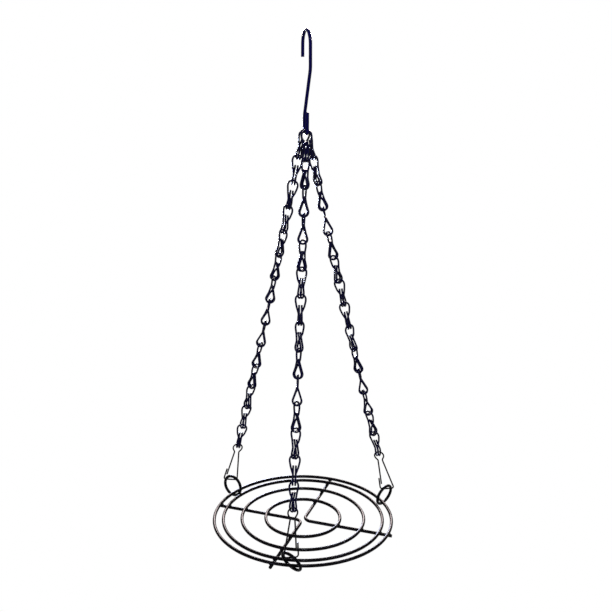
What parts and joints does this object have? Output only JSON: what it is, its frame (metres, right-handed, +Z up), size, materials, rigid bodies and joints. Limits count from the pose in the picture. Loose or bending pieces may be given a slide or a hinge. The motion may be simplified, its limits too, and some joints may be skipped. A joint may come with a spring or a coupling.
{
  "type": "plant hanger",
  "caption": "Wire plant hanger: a hook, bent-wire link chains, spring clips and jump rings carry a round tray of welded wire rings for a flowerpot.",
  "frame": {"origin": "the saddle: the inside top of the hook's arch, where the hanger rests on a rod or ceiling hook", "axes": "+Z up, against the load; +Y away from the front of the picture; +X to its right"},
  "size_m": [0.1839, 0.1904, 0.4774],
  "materials": {
    "hook": "gloss black enamel",
    "chain": "gloss black enamel",
    "clip": "gloss black enamel",
    "jump_ring": "gloss black enamel",
    "tray": "gloss black enamel"
  },
  "bodies": {
    "hook": {"hook": "hook"},
    "tray": {"tray_outer_ring": "tray", "tray_second_ring": "tray", "tray_third_ring": "tray", "tray_inner_ring": "tray", "left_cross_wire": "tray", "right_cross_wire": "tray", "left_link_01": "chain", "right_link_01": "chain", "front_link_01": "chain"},
    "left_strand_1": {"left_link_02": "chain", "left_link_03": "chain", "left_link_04": "chain"},
    "left_strand_2": {"left_link_05": "chain", "left_link_06": "chain", "left_link_07": "chain"},
    "left_strand_3": {"left_link_08": "chain", "left_link_09": "chain", "left_link_10": "chain"},
    "left_strand_4": {"left_link_11": "chain", "left_link_12": "chain", "left_link_13": "chain", "left_link_14": "chain"},
    "left_clip": {"left_clip": "clip"},
    "left_clip_gate": {"left_clip_gate": "clip"},
    "left_jump_ring": {"left_jump_ring": "jump_ring"},
    "right_strand_1": {"right_link_02": "chain", "right_link_03": "chain", "right_link_04": "chain"},
    "right_strand_2": {"right_link_05": "chain", "right_link_06": "chain", "right_link_07": "chain"},
    "right_strand_3": {"right_link_08": "chain", "right_link_09": "chain", "right_link_10": "chain"},
    "right_strand_4": {"right_link_11": "chain", "right_link_12": "chain", "right_link_13": "chain", "right_link_14": "chain"},
    "right_clip": {"right_clip": "clip"},
    "right_clip_gate": {"right_clip_gate": "clip"},
    "right_jump_ring": {"right_jump_ring": "jump_ring"},
    "front_strand_1": {"front_link_02": "chain", "front_link_03": "chain", "front_link_04": "chain"},
    "front_strand_2": {"front_link_05": "chain", "front_link_06": "chain", "front_link_07": "chain"},
    "front_strand_3": {"front_link_08": "chain", "front_link_09": "chain", "front_link_10": "chain"},
    "front_strand_4": {"front_link_11": "chain", "front_link_12": "chain", "front_link_13": "chain", "front_link_14": "chain"},
    "front_clip": {"front_clip": "clip"},
    "front_clip_gate": {"front_clip_gate": "clip"},
    "front_jump_ring": {"front_jump_ring": "jump_ring"}
  },
  "joints": [
    {"name": "tray_swing", "type": "hinge", "parent": "hook", "child": "tray", "pos_m": [0, 0, -0.087], "axis": [0.2588, -0.9659, 0], "range_deg": [-30, 30]},
    {"name": "left_chain_bow", "type": "hinge", "parent": "tray", "child": "left_strand_1", "pos_m": [-0.00626, 0.00669, -0.10725], "axis": [0.7914, -0.5624, -0.2396], "range_deg": [-3, 3]},
    {"name": "left_strand_2_bow", "type": "hinge", "parent": "left_strand_1", "child": "left_strand_2", "pos_m": [-0.01934, 0.01599, -0.17787], "axis": [0.7914, -0.5624, -0.2396], "range_deg": [-1.51, 1.51]},
    {"name": "left_strand_3_bow", "type": "hinge", "parent": "left_strand_2", "child": "left_strand_3", "pos_m": [-0.03297, 0.02567, -0.24834], "axis": [0.7914, -0.5624, -0.2396], "range_deg": [-1.51, 1.51]},
    {"name": "left_strand_4_bow", "type": "hinge", "parent": "left_strand_3", "child": "left_strand_4", "pos_m": [-0.04714, 0.03574, -0.31865], "axis": [0.7914, -0.5624, -0.2396], "range_deg": [-1.77, 1.77]},
    {"name": "left_clip_bow", "type": "hinge", "parent": "left_strand_4", "child": "left_clip", "pos_m": [-0.06686, 0.04976, -0.41213], "axis": [0.7914, -0.5624, -0.2396], "range_deg": [-1.49, 1.49]},
    {"name": "left_clip_gate_flex", "type": "hinge", "parent": "left_clip", "child": "left_clip_gate", "pos_m": [-0.07186, 0.05106, -0.42388], "axis": [0.2046, -0.9596, -0.1932], "range_deg": [0, 12], "stiffness_Nm_per_rad": 0.2},
    {"name": "left_ring_spin", "type": "hinge", "parent": "tray", "child": "left_jump_ring", "pos_m": [-0.07374, 0.05457, -0.46238], "axis": [-0.5948, -0.8039, 0], "continuous": true},
    {"name": "right_chain_bow", "type": "hinge", "parent": "tray", "child": "right_strand_1", "pos_m": [0.00628, 0.00286, -0.10724], "axis": [-0.8896, -0.3854, -0.2451], "range_deg": [-3, 3]},
    {"name": "right_strand_2_bow", "type": "hinge", "parent": "right_strand_1", "child": "right_strand_2", "pos_m": [0.0214, 0.00941, -0.17787], "axis": [-0.8896, -0.3854, -0.2451], "range_deg": [-1.51, 1.51]},
    {"name": "right_strand_3_bow", "type": "hinge", "parent": "right_strand_2", "child": "right_strand_3", "pos_m": [0.03712, 0.01622, -0.24834], "axis": [-0.8896, -0.3854, -0.2451], "range_deg": [-1.51, 1.51]},
    {"name": "right_strand_4_bow", "type": "hinge", "parent": "right_strand_3", "child": "right_strand_4", "pos_m": [0.05346, 0.0233, -0.31865], "axis": [-0.8896, -0.3854, -0.2451], "range_deg": [-1.77, 1.77]},
    {"name": "right_clip_bow", "type": "hinge", "parent": "right_strand_4", "child": "right_clip", "pos_m": [0.07618, 0.03314, -0.41213], "axis": [-0.8896, -0.3854, -0.2451], "range_deg": [-1.49, 1.49]},
    {"name": "right_clip_gate_flex", "type": "hinge", "parent": "right_clip", "child": "right_clip_gate", "pos_m": [0.07692, 0.03508, -0.4248], "axis": [-0.2222, -0.9618, -0.1602], "range_deg": [0, 12], "stiffness_Nm_per_rad": 0.2},
    {"name": "right_ring_spin", "type": "hinge", "parent": "tray", "child": "right_jump_ring", "pos_m": [0.08413, 0.03658, -0.46238], "axis": [-0.7133, 0.6699, 0.2058], "continuous": true},
    {"name": "front_chain_bow", "type": "hinge", "parent": "tray", "child": "front_strand_1", "pos_m": [-0.00006, -0.00958, -0.10725], "axis": [0.1214, 0.9636, -0.2382], "range_deg": [-3, 3]},
    {"name": "front_strand_2_bow", "type": "hinge", "parent": "front_strand_1", "child": "front_strand_2", "pos_m": [-0.00206, -0.0254, -0.17787], "axis": [0.1214, 0.9636, -0.2382], "range_deg": [-1.51, 1.51]},
    {"name": "front_strand_3_bow", "type": "hinge", "parent": "front_strand_2", "child": "front_strand_3", "pos_m": [-0.00413, -0.04188, -0.24834], "axis": [0.1214, 0.9636, -0.2382], "range_deg": [-1.51, 1.51]},
    {"name": "front_strand_4_bow", "type": "hinge", "parent": "front_strand_3", "child": "front_strand_4", "pos_m": [-0.0063, -0.05902, -0.31864], "axis": [0.1214, 0.9636, -0.2382], "range_deg": [-1.77, 1.77]},
    {"name": "front_clip_bow", "type": "hinge", "parent": "front_strand_4", "child": "front_clip", "pos_m": [-0.0093, -0.08289, -0.41213], "axis": [0.1214, 0.9636, -0.2382], "range_deg": [-1.49, 1.49]},
    {"name": "front_clip_gate_flex", "type": "hinge", "parent": "front_clip", "child": "front_clip_gate", "pos_m": [-0.00743, -0.08527, -0.4246], "axis": [-0.3589, 0.9054, -0.2268], "range_deg": [0, 12], "stiffness_Nm_per_rad": 0.2},
    {"name": "front_ring_spin", "type": "hinge", "parent": "tray", "child": "front_jump_ring", "pos_m": [-0.01038, -0.09114, -0.46238], "axis": [0.625, 0.6741, 0.3937], "continuous": true}
  ],
  "couplings": [
    {"joint": "left_strand_2_bow", "follows": "left_chain_bow", "ratio": -0.50488},
    {"joint": "left_strand_3_bow", "follows": "left_chain_bow", "ratio": -0.50488},
    {"joint": "left_strand_4_bow", "follows": "left_chain_bow", "ratio": -0.58902},
    {"joint": "left_clip_bow", "follows": "left_chain_bow", "ratio": -0.49512},
    {"joint": "right_strand_2_bow", "follows": "right_chain_bow", "ratio": -0.50488},
    {"joint": "right_strand_3_bow", "follows": "right_chain_bow", "ratio": -0.50488},
    {"joint": "right_strand_4_bow", "follows": "right_chain_bow", "ratio": -0.58902},
    {"joint": "right_clip_bow", "follows": "right_chain_bow", "ratio": -0.49512},
    {"joint": "front_strand_2_bow", "follows": "front_chain_bow", "ratio": -0.50488},
    {"joint": "front_strand_3_bow", "follows": "front_chain_bow", "ratio": -0.50488},
    {"joint": "front_strand_4_bow", "follows": "front_chain_bow", "ratio": -0.58902},
    {"joint": "front_clip_bow", "follows": "front_chain_bow", "ratio": -0.49512}
  ]
}
